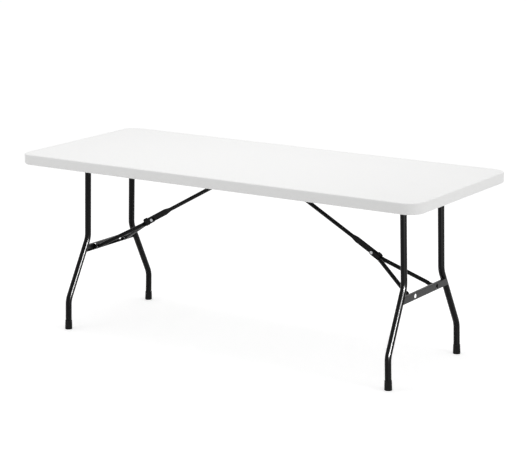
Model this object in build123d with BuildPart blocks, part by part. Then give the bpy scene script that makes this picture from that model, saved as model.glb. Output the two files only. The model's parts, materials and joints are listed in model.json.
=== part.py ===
from build123d import *
import os
from math import asin, atan2, cos, hypot, radians, sin, tan

os.makedirs("parts", exist_ok=True)

# A folding banquet table: a moulded top with a deep rim, and two bent-tube leg
# frames that fold flat into its underside, each held open by a jointed brace.
# X runs along the table, Y across it, Z up from the floor, origin at the
# middle of the floor under the table. All lengths are in millimetres.

# Moulded top
table_length = 1830.0
table_width = 760.0
table_height = 740.0
top_corner_radius = 62.0
rim_height = 43.0
rim_wall = 26.0
skin_thickness = 18.0
top_edge_round = 5.0
bottom_edge_round = 6.0
inner_edge_round = 2.0
groove_width = 64.0
groove_skin = 6.0
groove_end_gap = 36.0

# Steel rails under the long edges
rail_sheet = 1.5
rail_flange = 30.0
rail_lip = 12.0
rail_bend_radius = 2.5
rail_end_margin = 40.0
rail_wall_gap = 8.0
rail_screw_inset = 60.0
rail_screws_per_side = 6

# Screws that hold the rails and the centre bracket to the top
screw_shank_radius = 2.0
screw_head_radius = 4.5
screw_head_height = 2.4
screw_head_round = 1.2
rail_screw_length = 8.0
bracket_screw_length = 5.5

# Leg frames
leg_tube_radius = 12.7
leg_tube_wall = 1.2
leg_lean = radians(1.66)
upper_half_spread = 150.3
foot_rail_gap = 37.0
upper_bend_below_pivot = 340.5
lower_bend_height = 124.6
leg_bend_radius = 75.0
leg_frame_end_gap = 177.8
pivot_tube_radius = 14.0
pivot_tube_wall = 1.5
pivot_head_room = 1.5
pivot_end_gap = 2.0
stub_radius = 6.0
stub_overhang = 6.0
stub_chamfer = 1.0
plug_depth = 20.0

# Rubber feet
foot_height = 37.0
foot_base = 6.0
foot_top_wall = 1.3
foot_bottom_wall = 2.2
foot_edge_round = 1.5

# Crossbar channel of each leg frame, with the lugs that carry the brace fork
crossbar_below_bend = 48.0
crossbar_depth = 28.0
crossbar_sheet = 1.5
crossbar_flange = 12.0
crossbar_bend_radius = 2.5
crossbar_hole_radius = 9.0
lug_sheet = 2.5
lug_web_depth = 20.0

# Brace: a strut from the centre bracket to the elbow, and a fork from the
# elbow to the crossbar
brace_axis_drop = 8.5
strut_radius = 8.0
strut_wall = 1.2
strut_top_half_pitch = 38.8
strut_overhang = 11.0
strut_flat_height = 25.0
strut_flat_sheet = 2.5
strut_flat_length = 80.0
strut_taper = 26.0
strut_stop_height = 28.0
strut_stop_length = 6.0
elbow_drop = 4.0
fork_pin_below_crossbar = 2.0
fork_radius = 8.0
fork_wall = 1.2
fork_flat_sheet = 2.4
fork_flat_height = 20.0
fork_flat_start = 36.0
fork_flat_taper = 10.0
fork_neck_length = 4.0
fork_bend_margin = 0.1
fork_eye_reach = 26.0
fork_eye_taper = 7.0
fork_eye_spread = 94.8
elbow_rivet_radius = 4.0
rivet_head_radius = 6.5
rivet_head_height = 2.3
fork_pin_radius = 3.5
fork_pin_head_radius = 5.5
fork_pin_head_height = 1.8
head_round = 0.8

# Lock ring on the elbow
ring_from_elbow = 31.0
ring_length = 15.0
ring_wall = 1.65
ring_end_wall = 3.0
ring_edge_round = 1.2

# Centre bracket and its two hinge pins
bracket_sheet = 2.0
bracket_half_length = 66.0
bracket_wall_gap = 4.0
bracket_screw_spread = 20.0
ear_radius = 8.0
hinge_pin_radius = 3.0
hinge_pin_head_radius = 5.0
hinge_pin_head_height = 1.6

# Clearances
running_fit = 0.05
side_play = 0.3
screw_play = 0.25

# Heights and places that follow from the sizes above
underside = table_height - skin_thickness
rim_bottom = table_height - rim_height
leg_frame_half_pitch = table_length / 2 - leg_frame_end_gap
groove_ceiling = table_height - groove_skin
pivot_height = underside - pivot_head_room - pivot_tube_radius
brace_fold_height = underside - brace_axis_drop
pivot_to_floor = pivot_height / cos(leg_lean)
rail_web_face = table_width / 2 - rim_wall - rail_wall_gap - rail_flange
rail_half_length = leg_frame_half_pitch + rail_end_margin
foot_half_spread = rail_web_face - foot_rail_gap
pivot_half_length = rail_web_face - pivot_end_gap
crossbar_outset = leg_tube_radius + crossbar_sheet


# Levels of a leg frame, as distances down the leg from the pivot axis
upper_bend_drop = upper_bend_below_pivot / cos(leg_lean)
lower_bend_drop = pivot_to_floor - lower_bend_height / cos(leg_lean)
tube_end_drop = pivot_to_floor - foot_base
crossbar_drop = upper_bend_drop + crossbar_below_bend / cos(leg_lean)
crossbar_top_drop = crossbar_drop - crossbar_depth / 2
crossbar_bottom_drop = crossbar_drop + crossbar_depth / 2
leg_splay = (foot_half_spread - upper_half_spread) / (lower_bend_drop - upper_bend_drop)

# Linkage, in the upright plane of the brace: the fork pin stands inboard of the
# leg frame by as much as the folded brace lies above the folded frame
fork_pin_inset = brace_fold_height - pivot_height
fork_pin_drop = crossbar_drop + fork_pin_below_crossbar
fork_pin_height = pivot_height - fork_pin_drop * cos(leg_lean) - fork_pin_inset * sin(leg_lean)
fork_pin_x = (
    leg_frame_half_pitch + fork_pin_drop * sin(leg_lean) - fork_pin_inset * cos(leg_lean)
)
brace_run = fork_pin_x - strut_top_half_pitch
brace_fall = brace_fold_height - fork_pin_height
brace_length = hypot(brace_run, brace_fall)
brace_angle = atan2(brace_fall, brace_run)
folded_run = leg_frame_half_pitch - fork_pin_drop - strut_top_half_pitch
fork_length = (brace_length - folded_run) / 2
strut_length = brace_length - fork_length

# The strut's own axis passes above the elbow, so it dips less than the linkage
strut_angle = brace_angle - asin(elbow_drop / strut_length)
elbow_reach = strut_length * cos(brace_angle - strut_angle)

# Layers of the elbow across the table: strut, lock ring, then the fork plates
ring_half_width = strut_flat_sheet / 2 + side_play + ring_wall
fork_flat_inner = ring_half_width + side_play
fork_flat_centre = fork_flat_inner + fork_flat_sheet / 2
fork_neck_spread = fork_flat_inner + side_play + fork_radius
fork_arm_spread = fork_eye_spread + fork_flat_sheet / 2 - fork_radius
lug_face = fork_eye_spread + fork_flat_sheet / 2 + side_play
crossbar_hole_spread = lug_face - side_play - crossbar_hole_radius

# Course of a fork arm: straight at the pin, one slope, then straight to the elbow
fork_flat_end = fork_length - fork_flat_start
fork_neck_end = fork_flat_end - fork_flat_taper
fork_neck_start = fork_neck_end - fork_neck_length
fork_bend = atan2(fork_arm_spread - fork_neck_spread, fork_neck_start - fork_eye_reach)
fork_bend_radius = (fork_neck_length - fork_bend_margin) / tan(fork_bend / 2)

sides = {"left": -1, "right": 1}
edges = {"front": -1, "rear": 1}


def leg_plane(side, outset=0):
    """Plane of a leg frame: x across the table, y up the leg, z outwards."""
    outwards = (side * cos(leg_lean), 0, sin(leg_lean))
    pivot = (side * leg_frame_half_pitch, 0, pivot_height)
    return Plane(origin=pivot, x_dir=(0, side, 0), z_dir=outwards).offset(outset)


def side_plane(side, x, z, dip=0):
    """Upright plane along the table: x points outwards and down by the dip."""
    outwards = (side * cos(dip), 0, -sin(dip))
    return Plane(origin=(side * x, 0, z), x_dir=outwards, z_dir=(0, -side, 0))


def strut_section(side, distance):
    """Plane square to a strut, at a distance down it from its hinge pin."""
    along = (side * cos(strut_angle), 0, -sin(strut_angle))
    pin = (side * strut_top_half_pitch, 0, brace_fold_height)
    return Plane(origin=pin, x_dir=(0, side, 0), z_dir=along).offset(distance)


def fork_plane(side):
    """Plane of a fork: x across the table, y from the fork pin to the elbow."""
    upwards = (side * sin(brace_angle), 0, cos(brace_angle))
    pin = (side * fork_pin_x, 0, fork_pin_height)
    return Plane(origin=pin, x_dir=(0, side, 0), z_dir=upwards)


def fork_section(side, across, distance):
    """Plane square to a fork, centred on a point of the fork's own plane."""
    along = (-side * cos(brace_angle), 0, sin(brace_angle))
    centre = fork_plane(side).from_local_coords(Vector(across, distance, 0))
    return Plane(origin=centre, x_dir=(0, side, 0), z_dir=along)


def leg_spread(drop):
    """Distance of a sloping leg's axis from the middle, at a distance down it."""
    return upper_half_spread + leg_splay * (drop - upper_bend_drop)


def save(builder, name):
    """Name a finished piece and write it out."""
    builder.part.label = name
    export_step(builder.part, f"parts/{name}.step")


# Places of the screws under the top
rail_screw_y = rail_web_face + rail_sheet + (rail_flange - rail_sheet) / 2
rail_screw_pitch = 2 * (rail_half_length - rail_screw_inset) / (rail_screws_per_side - 1)
bracket_screw_x = bracket_half_length - ear_radius
rail_screw_spots = GridLocations(rail_screw_pitch, 2 * rail_screw_y, rail_screws_per_side, 2)
bracket_screw_spots = GridLocations(2 * bracket_screw_x, 2 * bracket_screw_spread, 2, 2)

# Moulded top: a deep tray, open underneath, with a groove for the braces
groove_half_length = leg_frame_half_pitch - groove_end_gap
with BuildPart() as top_panel:
    with BuildSketch(Plane.XY.offset(rim_bottom)):
        RectangleRounded(table_length, table_width, top_corner_radius)
    extrude(amount=rim_height)
    fillet(top_panel.faces().sort_by(Axis.Z)[-1].edges(), top_edge_round)
    fillet(top_panel.faces().sort_by(Axis.Z)[0].edges(), bottom_edge_round)
    with BuildSketch(Plane.XY.offset(rim_bottom)):
        RectangleRounded(
            table_length - 2 * rim_wall, table_width - 2 * rim_wall, top_corner_radius - rim_wall
        )
    extrude(amount=underside - rim_bottom, mode=Mode.SUBTRACT)
    rim_face = top_panel.faces().sort_by(Axis.Z)[0]
    fillet(rim_face.inner_wires().edges(), inner_edge_round)
    with BuildSketch(Plane.XY.offset(underside)):
        SlotOverall(2 * groove_half_length, groove_width)
    extrude(amount=groove_ceiling - underside, mode=Mode.SUBTRACT)
    with BuildSketch(Plane.XY.offset(underside)):
        with rail_screw_spots:
            Circle(screw_shank_radius)
    extrude(amount=rail_screw_length - rail_sheet, mode=Mode.SUBTRACT)
    with BuildSketch(Plane.XY.offset(groove_ceiling)):
        with bracket_screw_spots:
            Circle(screw_shank_radius)
    extrude(amount=bracket_screw_length - bracket_sheet, mode=Mode.SUBTRACT)
save(top_panel, "top_panel")

# Rails: folded channels, open outwards, with a hole for each frame's stub
for edge_name, edge in edges.items():
    with BuildPart() as rail:
        with BuildSketch(Plane.YZ):
            with BuildLine():
                half = rail_sheet / 2
                FilletPolyline(
                    (edge * (rail_web_face + rail_flange), underside - half),
                    (edge * (rail_web_face + half), underside - half),
                    (edge * (rail_web_face + half), rim_bottom + half),
                    (edge * (rail_web_face + rail_lip), rim_bottom + half),
                    radius=rail_bend_radius,
                )
            trace(line_width=rail_sheet)
        extrude(amount=rail_half_length, both=True)
        with BuildSketch(Plane.XZ):
            with Locations(
                (-leg_frame_half_pitch, pivot_height), (leg_frame_half_pitch, pivot_height)
            ):
                Circle(stub_radius + running_fit)
        extrude(amount=-edge * table_width / 2, mode=Mode.SUBTRACT)
        with BuildSketch(Plane.XY.offset(underside)):
            with rail_screw_spots:
                Circle(screw_shank_radius + screw_play)
        extrude(amount=-rail_bend_radius, mode=Mode.SUBTRACT)
    save(rail, f"{edge_name}_rail")


def screw_set(spots, seat, length, name):
    """Pan-head screws driven upwards, with their heads under a seat height."""
    with BuildPart() as screws:
        with BuildSketch(Plane.XY.offset(seat)):
            with spots:
                Circle(screw_head_radius)
        extrude(amount=-screw_head_height)
        fillet(screws.faces().group_by(Axis.Z)[0].edges(), screw_head_round)
        with BuildSketch(Plane.XY.offset(seat)):
            with spots:
                Circle(screw_shank_radius)
        extrude(amount=length)
    save(screws, name)


screw_set(rail_screw_spots, underside - rail_sheet, rail_screw_length, "rail_screws")
screw_set(
    bracket_screw_spots, groove_ceiling - bracket_sheet, bracket_screw_length, "bracket_screws"
)

# Centre bracket: a base plate in the groove with two pairs of hanging ears
ear_inner = strut_radius + side_play
ear_outer = ear_inner + bracket_sheet
bracket_width = groove_width - 2 * bracket_wall_gap
with BuildPart() as centre_bracket:
    with BuildSketch(Plane.XY.offset(groove_ceiling)):
        RectangleRounded(2 * bracket_half_length, bracket_width, ear_radius)
        with bracket_screw_spots:
            Circle(screw_shank_radius + screw_play, mode=Mode.SUBTRACT)
    extrude(amount=-bracket_sheet)
    for edge in edges.values():
        with BuildSketch(Plane.XZ.offset(-edge * ear_inner)):
            for side in sides.values():
                with Locations((side * strut_top_half_pitch, brace_fold_height)):
                    Circle(ear_radius)
                    Rectangle(
                        2 * ear_radius,
                        groove_ceiling - brace_fold_height,
                        align=(Align.CENTER, Align.MIN),
                    )
                    Circle(hinge_pin_radius, mode=Mode.SUBTRACT)
        extrude(amount=-edge * bracket_sheet)
save(centre_bracket, "centre_bracket")

# Hinge pins of the two struts, headed at both ends
with BuildPart() as hinge_pins:
    with BuildSketch(Plane.XZ):
        for side in sides.values():
            with Locations((side * strut_top_half_pitch, brace_fold_height)):
                Circle(hinge_pin_radius)
    extrude(amount=ear_outer, both=True)
    for edge in edges.values():
        with BuildSketch(Plane.XZ.offset(-edge * ear_outer)):
            for side in sides.values():
                with Locations((side * strut_top_half_pitch, brace_fold_height)):
                    Circle(hinge_pin_head_radius)
        extrude(amount=-edge * hinge_pin_head_height)
    end_faces = hinge_pins.faces().group_by(Axis.Y)
    fillet((end_faces[0] + end_faces[-1]).edges(), head_round)
save(hinge_pins, "hinge_pins")


def build_leg(side, side_name, edge, edge_name):
    """One bent leg of a frame and its rubber foot."""
    frame = leg_plane(side)
    across = side * edge
    with BuildPart() as leg:
        with BuildLine(frame) as route:
            FilletPolyline(
                (across * upper_half_spread, 0),
                (across * upper_half_spread, -upper_bend_drop),
                (across * foot_half_spread, -lower_bend_drop),
                (across * foot_half_spread, -tube_end_drop),
                radius=leg_bend_radius,
            )
        with BuildSketch(Plane(origin=route.line @ 0, z_dir=route.line % 0)):
            Circle(leg_tube_radius)
            Circle(leg_tube_radius - leg_tube_wall, mode=Mode.SUBTRACT)
        sweep()
        with BuildSketch(side_plane(side, leg_frame_half_pitch, pivot_height)):
            Circle(pivot_tube_radius)
        extrude(amount=pivot_half_length, both=True, mode=Mode.SUBTRACT)
    save(leg, f"{side_name}_{edge_name}_leg")

    inner = across * foot_half_spread
    bore = across * (foot_half_spread + leg_tube_radius)
    lip = across * (foot_half_spread + leg_tube_radius + foot_top_wall)
    skirt = across * (foot_half_spread + leg_tube_radius + foot_bottom_wall)
    with BuildPart() as foot:
        with BuildSketch(frame):
            with BuildLine():
                Polyline(
                    (inner, -tube_end_drop),
                    (bore, -tube_end_drop),
                    (bore, foot_height - pivot_to_floor),
                    (lip, foot_height - pivot_to_floor),
                    (skirt, foot_base - pivot_to_floor),
                    (skirt, -foot_base - pivot_to_floor),
                    (inner, -foot_base - pivot_to_floor),
                    close=True,
                )
            make_face()
        revolve(axis=Axis(frame.from_local_coords(Vector(inner, 0, 0)), frame.y_dir))
        split(bisect_by=Plane.XY, keep=Keep.TOP)
        fillet(foot.faces().sort_by(Axis.Z)[0].edges(), foot_edge_round)
    save(foot, f"{side_name}_{edge_name}_foot")


def build_frame(side, side_name):
    """The pivot tube, stubs, crossbar, fork lugs and fork pins of a leg frame."""
    pivot_plane = side_plane(side, leg_frame_half_pitch, pivot_height)
    with BuildPart() as pivot_tube:
        with BuildSketch(pivot_plane):
            Circle(pivot_tube_radius)
            Circle(pivot_tube_radius - pivot_tube_wall, mode=Mode.SUBTRACT)
        extrude(amount=pivot_half_length, both=True)
    save(pivot_tube, f"{side_name}_pivot_tube")

    plug_start = pivot_half_length - plug_depth
    stub_end = rail_web_face + rail_sheet + stub_overhang
    with BuildPart() as stubs:
        for edge in edges.values():
            with BuildSketch(pivot_plane.offset(edge * plug_start)):
                Circle(pivot_tube_radius - pivot_tube_wall)
            extrude(amount=edge * plug_depth)
            with BuildSketch(pivot_plane.offset(edge * plug_start)):
                Circle(stub_radius)
            extrude(amount=edge * (stub_end - plug_start))
        end_faces = stubs.faces().group_by(Axis.Y)
        chamfer((end_faces[0] + end_faces[-1]).edges(), stub_chamfer)
    save(stubs, f"{side_name}_pivot_stubs")

    outer_face = leg_plane(side, crossbar_outset)
    inner_width = crossbar_depth - 2 * crossbar_sheet
    with BuildPart() as crossbar:
        with BuildSketch(outer_face):
            Polygon(
                (leg_spread(crossbar_bottom_drop), -crossbar_bottom_drop),
                (leg_spread(crossbar_top_drop), -crossbar_top_drop),
                (-leg_spread(crossbar_top_drop), -crossbar_top_drop),
                (-leg_spread(crossbar_bottom_drop), -crossbar_bottom_drop),
                align=None,
            )
        extrude(amount=-crossbar_flange)
        web = crossbar.faces().sort_by(Axis(outer_face.origin, outer_face.z_dir))[-1]
        fillet(web.edges().filter_by(Axis.Y), crossbar_bend_radius)
        with BuildSketch(outer_face.offset(-crossbar_sheet)):
            with Locations((0, -crossbar_drop)):
                Rectangle(table_width, inner_width)
        extrude(amount=-crossbar_flange, mode=Mode.SUBTRACT)
        with BuildSketch(outer_face):
            with Locations(
                (-crossbar_hole_spread, -crossbar_drop), (crossbar_hole_spread, -crossbar_drop)
            ):
                Circle(crossbar_hole_radius)
        extrude(amount=-crossbar_flange, mode=Mode.SUBTRACT)
        for edge in edges.values():
            with BuildLine(leg_plane(side)):
                leg_axis = Line(
                    (edge * leg_spread(upper_bend_drop), -upper_bend_drop),
                    (edge * leg_spread(lower_bend_drop), -lower_bend_drop),
                )
            with BuildSketch(Plane(origin=leg_axis @ 0, z_dir=leg_axis % 0)):
                Circle(leg_tube_radius)
            extrude(amount=leg_axis.length, mode=Mode.SUBTRACT)
    save(crossbar, f"{side_name}_crossbar")

    lug_plane = side_plane(side, leg_frame_half_pitch, pivot_height, -leg_lean)
    with BuildPart() as lugs:
        for edge in edges.values():
            with BuildSketch(lug_plane.offset(-side * edge * lug_face)):
                Polygon(
                    (leg_tube_radius, -crossbar_drop + lug_web_depth / 2),
                    (leg_tube_radius, -crossbar_drop - lug_web_depth / 2),
                    (-fork_pin_inset, -fork_pin_drop - fork_radius),
                    (-fork_pin_inset, -fork_pin_drop + fork_radius),
                    align=None,
                )
                with Locations((-fork_pin_inset, -fork_pin_drop)):
                    Circle(fork_radius)
                    Circle(fork_pin_radius, mode=Mode.SUBTRACT)
            extrude(amount=-side * edge * lug_sheet)
    save(lugs, f"{side_name}_fork_lugs")

    pin_plane = side_plane(side, fork_pin_x, fork_pin_height)
    pin_inner = fork_eye_spread - fork_flat_sheet / 2 - side_play
    pin_outer = lug_face + lug_sheet
    with BuildPart() as pins:
        for edge in edges.values():
            outwards = -side * edge
            with BuildSketch(pin_plane.offset(outwards * pin_inner)):
                Circle(fork_pin_radius)
            extrude(amount=outwards * (pin_outer - pin_inner))
            with BuildSketch(pin_plane.offset(outwards * pin_inner)):
                Circle(fork_pin_head_radius)
            extrude(amount=-outwards * fork_pin_head_height)
            with BuildSketch(pin_plane.offset(outwards * pin_outer)):
                Circle(fork_pin_head_radius)
            extrude(amount=outwards * fork_pin_head_height)
        end_faces = pins.faces().group_by(Axis.Y)
        fillet((end_faces[0] + end_faces[-1]).edges(), head_round)
    save(pins, f"{side_name}_fork_pins")


def build_strut(side, side_name):
    """A brace strut with its flattened end, and the lock ring on that end."""
    flat_start = elbow_reach - strut_flat_length
    flat_end = elbow_reach + ring_from_elbow + ring_length / 2
    tube_end = flat_start - strut_taper
    profile_plane = side_plane(side, strut_top_half_pitch, brace_fold_height, strut_angle)
    with BuildPart() as strut:
        with BuildSketch(strut_section(side, -strut_overhang)):
            Circle(strut_radius)
            Circle(strut_radius - strut_wall, mode=Mode.SUBTRACT)
        extrude(amount=strut_overhang + tube_end)
        with BuildSketch(strut_section(side, tube_end)):
            Circle(strut_radius)
        with BuildSketch(strut_section(side, flat_start)):
            Rectangle(strut_flat_sheet, strut_flat_height)
        loft()
        with BuildSketch(profile_plane):
            with Locations((flat_start, 0)):
                Rectangle(
                    flat_end - flat_start, strut_flat_height, align=(Align.MIN, Align.CENTER)
                )
            with Locations((flat_end, 0)):
                Rectangle(
                    strut_stop_length, strut_stop_height, align=(Align.MIN, Align.CENTER)
                )
        extrude(amount=strut_flat_sheet / 2, both=True)
        with BuildSketch(profile_plane):
            with Locations((elbow_reach, -elbow_drop)):
                Circle(elbow_rivet_radius + running_fit)
            Circle(hinge_pin_radius + running_fit)
        extrude(amount=strut_radius, both=True, mode=Mode.SUBTRACT)
    save(strut, f"{side_name}_strut")

    slot_width = strut_flat_sheet + 2 * side_play
    slot_height = strut_flat_height + 2 * side_play
    with BuildPart() as ring:
        with BuildSketch(strut_section(side, flat_end - ring_length)):
            RectangleRounded(
                slot_width + 2 * ring_wall, slot_height + 2 * ring_end_wall, ring_edge_round
            )
            Rectangle(slot_width, slot_height, mode=Mode.SUBTRACT)
        extrude(amount=ring_length)
    save(ring, f"{side_name}_lock_ring")


def build_fork(side, side_name):
    """The two bent arms of a brace fork and the rivets of its elbow."""
    profile_plane = side_plane(side, fork_pin_x, fork_pin_height, brace_angle)
    for edge_name, edge in edges.items():
        across = side * edge
        outwards = -side * edge
        with BuildPart() as arm:
            with BuildSketch(profile_plane.offset(outwards * (fork_eye_spread - fork_flat_sheet / 2))):
                Circle(fork_radius)
                Rectangle(fork_radius, 2 * fork_radius, align=(Align.MAX, Align.CENTER))
                Circle(fork_pin_radius + running_fit, mode=Mode.SUBTRACT)
            extrude(amount=outwards * fork_flat_sheet)
            with BuildSketch(fork_section(side, across * fork_eye_spread, fork_radius)):
                Rectangle(fork_flat_sheet, 2 * fork_radius)
            with BuildSketch(
                fork_section(side, across * fork_arm_spread, fork_radius + fork_eye_taper)
            ):
                Circle(fork_radius)
            loft()
            with BuildLine(fork_plane(side)) as route:
                FilletPolyline(
                    (across * fork_arm_spread, fork_radius + fork_eye_taper),
                    (across * fork_arm_spread, fork_eye_reach),
                    (across * fork_neck_spread, fork_neck_start),
                    (across * fork_neck_spread, fork_neck_end),
                    radius=fork_bend_radius,
                )
            with BuildSketch(Plane(origin=route.line @ 0, z_dir=route.line % 0)):
                Circle(fork_radius)
                Circle(fork_radius - fork_wall, mode=Mode.SUBTRACT)
            sweep()
            with BuildSketch(fork_section(side, across * fork_neck_spread, fork_neck_end)):
                Circle(fork_radius)
            with BuildSketch(fork_section(side, across * fork_flat_centre, fork_flat_end)):
                Rectangle(fork_flat_sheet, fork_flat_height)
            loft()
            with BuildSketch(profile_plane.offset(outwards * fork_flat_inner)):
                with Locations((-fork_flat_end, 0)):
                    Rectangle(
                        fork_flat_start, fork_flat_height, align=(Align.MAX, Align.CENTER)
                    )
                with Locations((-fork_length, 0)):
                    Circle(fork_flat_height / 2)
                    Circle(elbow_rivet_radius, mode=Mode.SUBTRACT)
            extrude(amount=outwards * fork_flat_sheet)
        save(arm, f"{side_name}_fork_{edge_name}_arm")

    with BuildPart() as rivets:
        for edge in edges.values():
            outwards = -side * edge
            with BuildSketch(profile_plane.offset(outwards * fork_flat_inner)):
                with Locations((-fork_length, 0)):
                    Circle(elbow_rivet_radius)
            extrude(amount=outwards * fork_flat_sheet)
            with BuildSketch(profile_plane.offset(outwards * (fork_flat_inner + fork_flat_sheet))):
                with Locations((-fork_length, 0)):
                    Circle(rivet_head_radius)
            extrude(amount=outwards * rivet_head_height)
        end_faces = rivets.faces().group_by(Axis.Y)
        fillet((end_faces[0] + end_faces[-1]).edges(), head_round)
    save(rivets, f"{side_name}_elbow_rivets")


for side_name, side in sides.items():
    build_frame(side, side_name)
    for edge_name, edge in edges.items():
        build_leg(side, side_name, edge, edge_name)
    build_strut(side, side_name)
    build_fork(side, side_name)
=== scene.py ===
"""Looks for a folding banquet table: finishes, floor, soft studio light and the photograph's camera."""

import json
import math

import bpy
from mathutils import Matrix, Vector

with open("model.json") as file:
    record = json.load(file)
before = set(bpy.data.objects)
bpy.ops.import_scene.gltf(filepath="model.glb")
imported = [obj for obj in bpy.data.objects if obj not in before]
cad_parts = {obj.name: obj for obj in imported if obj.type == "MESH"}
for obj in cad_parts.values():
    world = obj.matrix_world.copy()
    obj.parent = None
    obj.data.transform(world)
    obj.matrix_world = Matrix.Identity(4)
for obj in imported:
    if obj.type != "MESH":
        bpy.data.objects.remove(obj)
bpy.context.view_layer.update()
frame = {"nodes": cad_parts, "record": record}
nodes = frame["nodes"]

# Camera, solved from the table's known size in the photograph, with its lens in millimetres
CAMERA_PLACE = (3.8625, -5.9392, 2.0972)
CAMERA_YAW = math.radians(32.83)
CAMERA_PITCH = math.radians(13.19)
CAMERA_SENSOR_WIDTH = 36.0
CAMERA_LENS = 123.6

# Floor and backdrop: SKY_LIGHT lights the table, and SKY_SEEN is what the camera and gloss see
FLOOR_SIDE = 120.0
FLOOR_COLOR = (0.86, 0.86, 0.86)
FLOOR_ROUGHNESS = 0.9
FLOOR_LIFT = 0.48
BACKDROP_COLOR = (1.0, 1.0, 1.0)
SKY_LIGHT = 0.62
SKY_SEEN = 1.0

# White moulded plastic of the top, with a fine grain
PANEL_COLOR = (0.88, 0.88, 0.875)
PANEL_ROUGHNESS = 0.42
PANEL_GRAIN_SCALE = 900.0
PANEL_GRAIN_DETAIL = 2.0
PANEL_GRAIN_HEIGHT = 0.0002

# Black powder coat of the tubes, and on the crossbars' folded sheet the same coat lightened to grey, a
# painted sheen for the light that sheet reflects
COAT_COLOR = (0.003, 0.003, 0.0033)
COAT_ROUGHNESS = 0.22
COAT_SPECULAR = 0.11
# painted sheen: this lighter grey of the same black coat stands in for the light reflected by the crossbars
CROSSBAR_PAINTED_SHEEN_COLOR = (0.016, 0.016, 0.0165)
CROSSBAR_COAT_ROUGHNESS = 0.35
CROSSBAR_COAT_SPECULAR = 0.23
PAINTED_SHEEN_NODES = ("left_crossbar", "right_crossbar")

# Rubber of the feet and zinc plate of the fasteners
RUBBER_COLOR = (0.012, 0.012, 0.012)
RUBBER_ROUGHNESS = 0.55
RUBBER_SPECULAR = 0.1
ZINC_COLOR = (0.42, 0.43, 0.44)
ZINC_ROUGHNESS = 0.35

# Blender's own specular level, for materials that have no other
USUAL_SPECULAR = 0.5

# Softboxes that light every surface, in metres and watts
SOFTBOXES = {
    "overhead": dict(place=(-0.15, 0.0, 3.0), target=(-0.15, 0.0, 0.7), width=2.4, height=1.6, watts=24.0),
    "front_left": dict(place=(-2.6, -3.0, 1.6), target=(-0.4, 0.0, 0.5), width=1.2, height=2.0, watts=11.0),
    "right_side": dict(place=(5.0, -0.4, 1.8), target=(0.0, 0.0, 0.5), width=1.2, height=2.0, watts=33.0),
}

# Softboxes for the long highlight on the bent legs of the left and the right frame
LEG_SOFTBOXES = {
    "left": dict(place=(5.2, -0.5, 1.6), target=(-0.74, -0.28, 0.25), width=2.4, height=1.0, watts=2600.0),
    "right": dict(place=(5.2, -2.9, 1.9), target=(0.74, -0.28, 0.25), width=2.4, height=1.0, watts=4060.0),
}


def plain_material(name, color, roughness, metallic=0.0, specular=USUAL_SPECULAR):
    """A principled material of one colour."""
    material = bpy.data.materials.new(name)
    material.use_nodes = True
    shader = material.node_tree.nodes["Principled BSDF"]
    shader.inputs["Base Color"].default_value = (*color, 1.0)
    shader.inputs["Roughness"].default_value = roughness
    shader.inputs["Metallic"].default_value = metallic
    shader.inputs["Specular IOR Level"].default_value = specular
    return material


def panel_material():
    """White moulded plastic, with its grain as a bump in the object's own space."""
    material = plain_material("white_panel", PANEL_COLOR, PANEL_ROUGHNESS)
    tree = material.node_tree
    place = tree.nodes.new("ShaderNodeTexCoord")
    grain = tree.nodes.new("ShaderNodeTexNoise")
    bump = tree.nodes.new("ShaderNodeBump")
    grain.inputs["Scale"].default_value = PANEL_GRAIN_SCALE
    grain.inputs["Detail"].default_value = PANEL_GRAIN_DETAIL
    bump.inputs["Distance"].default_value = PANEL_GRAIN_HEIGHT
    tree.links.new(place.outputs["Object"], grain.inputs["Vector"])
    tree.links.new(grain.outputs["Fac"], bump.inputs["Height"])
    tree.links.new(bump.outputs["Normal"], tree.nodes["Principled BSDF"].inputs["Normal"])
    return material


def coat_material():
    """Black powder coat, on the tubes, the braces and the rails."""
    return plain_material("black_coat", COAT_COLOR, COAT_ROUGHNESS, specular=COAT_SPECULAR)


def painted_sheen_coat_material():
    """The black coat on the crossbars, rougher, and lightened to grey as a painted sheen for the light it
    reflects.
    """
    # painted sheen: the grey colour stands in for reflected light, not a different coat
    return plain_material("coat_with_painted_sheen", CROSSBAR_PAINTED_SHEEN_COLOR, CROSSBAR_COAT_ROUGHNESS, specular=CROSSBAR_COAT_SPECULAR)


def rubber_material():
    """Matt black rubber, on the feet."""
    return plain_material("black_rubber", RUBBER_COLOR, RUBBER_ROUGHNESS, specular=RUBBER_SPECULAR)


def zinc_material():
    """Dull zinc plate, on the screws, pins, rivets and stubs."""
    return plain_material("zinc_plate", ZINC_COLOR, ZINC_ROUGHNESS, metallic=1.0)


def dress(node, material):
    """Put one material in each slot of a node."""
    for material_slot in node.material_slots:
        material_slot.material = material


def dress_table():
    """Give each node the finish of its slot in the record, and the crossbars the black coat lightened by a
    painted sheen.
    """
    finishes = {
        "panel": panel_material(),
        "frame": coat_material(),
        "caps": rubber_material(),
        "zinc": zinc_material(),
    }
    for entry in frame["record"]["subparts"]:
        dress(nodes[entry["node"]], finishes[entry["material_slot"]])
    # the crossbars get the black coat lightened to grey, a painted sheen for their reflected light
    painted_sheen_coat = painted_sheen_coat_material()
    for node_name in PAINTED_SHEEN_NODES:
        dress(nodes[node_name], painted_sheen_coat)


def either(tree, first, second):
    """An output that is 1 for a ray of either kind and 0 for any other."""
    larger = tree.nodes.new("ShaderNodeMath")
    larger.operation = "MAXIMUM"
    tree.links.new(first, larger.inputs[0])
    tree.links.new(second, larger.inputs[1])
    return larger.outputs["Value"]


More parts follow.
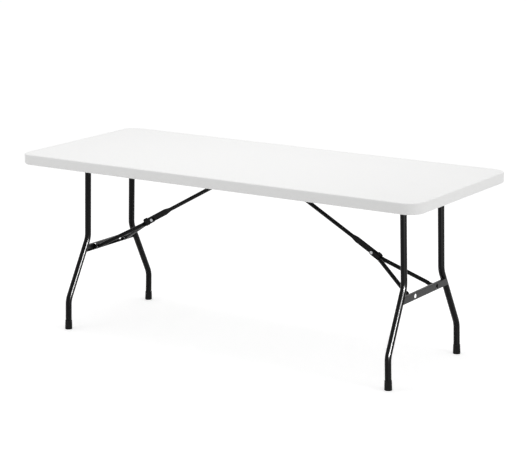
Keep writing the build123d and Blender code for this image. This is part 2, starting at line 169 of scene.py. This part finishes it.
def floor_material():
    """Pale floor that keeps the shadow, and is lifted towards white where the camera or gloss sees it."""
    material = plain_material("floor", FLOOR_COLOR, FLOOR_ROUGHNESS, specular=0.0)
    tree = material.node_tree
    rays = tree.nodes.new("ShaderNodeLightPath")
    lift = tree.nodes.new("ShaderNodeMath")
    glow = tree.nodes.new("ShaderNodeEmission")
    both = tree.nodes.new("ShaderNodeAddShader")
    lift.operation = "MULTIPLY"
    lift.inputs[1].default_value = FLOOR_LIFT
    glow.inputs["Color"].default_value = (*BACKDROP_COLOR, 1.0)
    seen = either(tree, rays.outputs["Is Camera Ray"], rays.outputs["Is Glossy Ray"])
    tree.links.new(seen, lift.inputs[0])
    tree.links.new(lift.outputs["Value"], glow.inputs["Strength"])
    tree.links.new(tree.nodes["Principled BSDF"].outputs["BSDF"], both.inputs[0])
    tree.links.new(glow.outputs["Emission"], both.inputs[1])
    tree.links.new(both.outputs["Shader"], tree.nodes["Material Output"].inputs["Surface"])
    return material


def add_floor():
    """The level floor under the feet."""
    bpy.ops.mesh.primitive_plane_add(size=FLOOR_SIDE, location=(0, 0, 0))
    floor = bpy.context.object
    floor.name = "floor"
    floor.data.materials.append(floor_material())


def add_sky():
    """Soft even light, which is plain white where it is looked at, straight or in gloss or glass."""
    world = bpy.data.worlds.new("studio")
    bpy.context.scene.world = world
    world.use_nodes = True
    tree = world.node_tree
    background = tree.nodes["Background"]
    rays = tree.nodes.new("ShaderNodeLightPath")
    level = tree.nodes.new("ShaderNodeMapRange")
    background.inputs["Color"].default_value = (*BACKDROP_COLOR, 1.0)
    level.inputs["To Min"].default_value = SKY_LIGHT
    level.inputs["To Max"].default_value = SKY_SEEN
    indirect = either(tree, rays.outputs["Is Glossy Ray"], rays.outputs["Is Transmission Ray"])
    seen = either(tree, rays.outputs["Is Camera Ray"], indirect)
    tree.links.new(seen, level.inputs["Value"])
    tree.links.new(level.outputs["Result"], background.inputs["Strength"])


def add_softbox(name, place, target, width, height, watts):
    """A rectangular lamp that faces a point and isn't seen by the camera."""
    lamp = bpy.data.lights.new(name, "AREA")
    lamp.shape = "RECTANGLE"
    lamp.size = width
    lamp.size_y = height
    lamp.energy = watts
    softbox = bpy.data.objects.new(name, lamp)
    bpy.context.scene.collection.objects.link(softbox)
    softbox.location = place
    aim = Vector(target) - Vector(place)
    softbox.rotation_euler = aim.to_track_quat("-Z", "Y").to_euler()
    softbox.visible_camera = False
    return softbox


def add_room_light():
    """The softboxes that light every surface and show in no gloss."""
    for name, setting in SOFTBOXES.items():
        softbox = add_softbox(name, **setting)
        softbox.visible_glossy = False


def add_leg_highlights():
    """One softbox in the gloss of each frame's bent legs alone, so that the white top doesn't clip."""
    for side, setting in LEG_SOFTBOXES.items():
        softbox = add_softbox(side + "_leg_highlight", **setting)
        softbox.visible_diffuse = False
        legs = bpy.data.collections.new(side + "_legs")
        legs.objects.link(nodes[side + "_front_leg"])
        legs.objects.link(nodes[side + "_rear_leg"])
        softbox.light_linking.receiver_collection = legs


def add_camera():
    """The photograph's camera, level from side to side."""
    lens = bpy.data.cameras.new("camera")
    lens.sensor_fit = "HORIZONTAL"
    lens.sensor_width = CAMERA_SENSOR_WIDTH
    lens.lens = CAMERA_LENS
    lens.clip_end = FLOOR_SIDE
    camera = bpy.data.objects.new("camera", lens)
    bpy.context.scene.collection.objects.link(camera)
    camera.location = CAMERA_PLACE
    camera.rotation_euler = (math.radians(90) - CAMERA_PITCH, 0, CAMERA_YAW)
    bpy.context.scene.camera = camera


dress_table()
add_floor()
add_sky()
add_room_light()
add_leg_highlights()
add_camera()
bpy.context.scene.view_settings.view_transform = "Standard"
